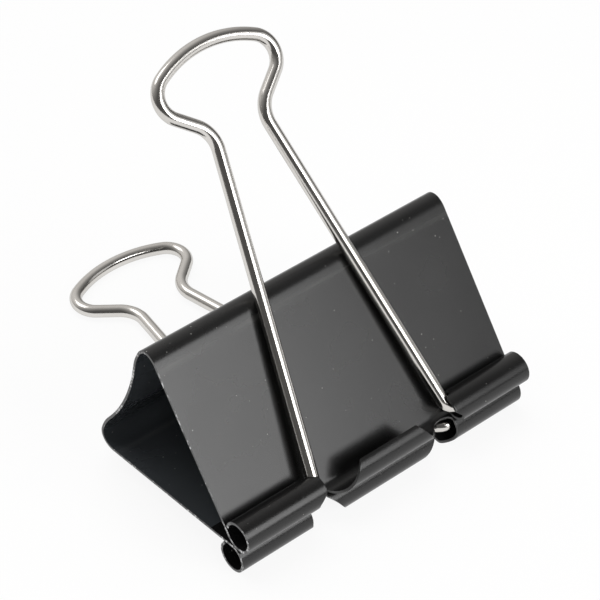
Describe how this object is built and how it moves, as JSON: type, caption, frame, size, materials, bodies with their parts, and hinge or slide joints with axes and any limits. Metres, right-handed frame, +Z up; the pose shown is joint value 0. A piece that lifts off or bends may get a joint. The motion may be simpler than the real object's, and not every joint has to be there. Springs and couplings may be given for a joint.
{
  "type": "foldback clip",
  "caption": "Foldback clip: sprung black sheet-steel jaws pinch papers together, and looped wire handles turn in the rolled lips to lever them open.",
  "frame": {"origin": "bottom centre of the overall box, on the surface that the clip lies on", "axes": "+Z up, X along the clip's width, +Y from the lips towards the spine and the rear handle's loop"},
  "size_m": [0.051, 0.0646, 0.0554],
  "materials": {
    "black_paint": "satin black paint on spring steel",
    "nickel_wire": "bright nickel plate on steel wire"
  },
  "bodies": {
    "spine": {"spine": "black_paint"},
    "front_jaw": {"front_jaw": "black_paint"},
    "rear_jaw": {"rear_jaw": "black_paint"},
    "front_handle": {"front_handle": "nickel_wire"},
    "rear_handle": {"rear_handle": "nickel_wire"}
  },
  "joints": [
    {"name": "front_fold", "type": "hinge", "parent": "spine", "child": "front_jaw", "pos_m": [0, -0.01021, 0.02628], "axis": [-1, 0, 0], "range_deg": [0, 26], "stiffness_Nm_per_rad": 1.5},
    {"name": "rear_fold", "type": "hinge", "parent": "spine", "child": "rear_jaw", "pos_m": [0, -0.00031, 0.0055], "axis": [1, 0, 0], "range_deg": [0, 26], "stiffness_Nm_per_rad": 1.5},
    {"name": "front_swing", "type": "hinge", "parent": "front_jaw", "child": "front_handle", "pos_m": [0, -0.02996, 0.00703], "axis": [1, 0, 0], "range_deg": [0, 153]},
    {"name": "rear_swing", "type": "hinge", "parent": "rear_jaw", "child": "rear_handle", "pos_m": [0, -0.02862, 0.00235], "axis": [-1, 0, 0], "range_deg": [0, 153]}
  ],
  "couplings": [
    {"joint": "rear_fold", "follows": "front_fold", "ratio": 1}
  ]
}
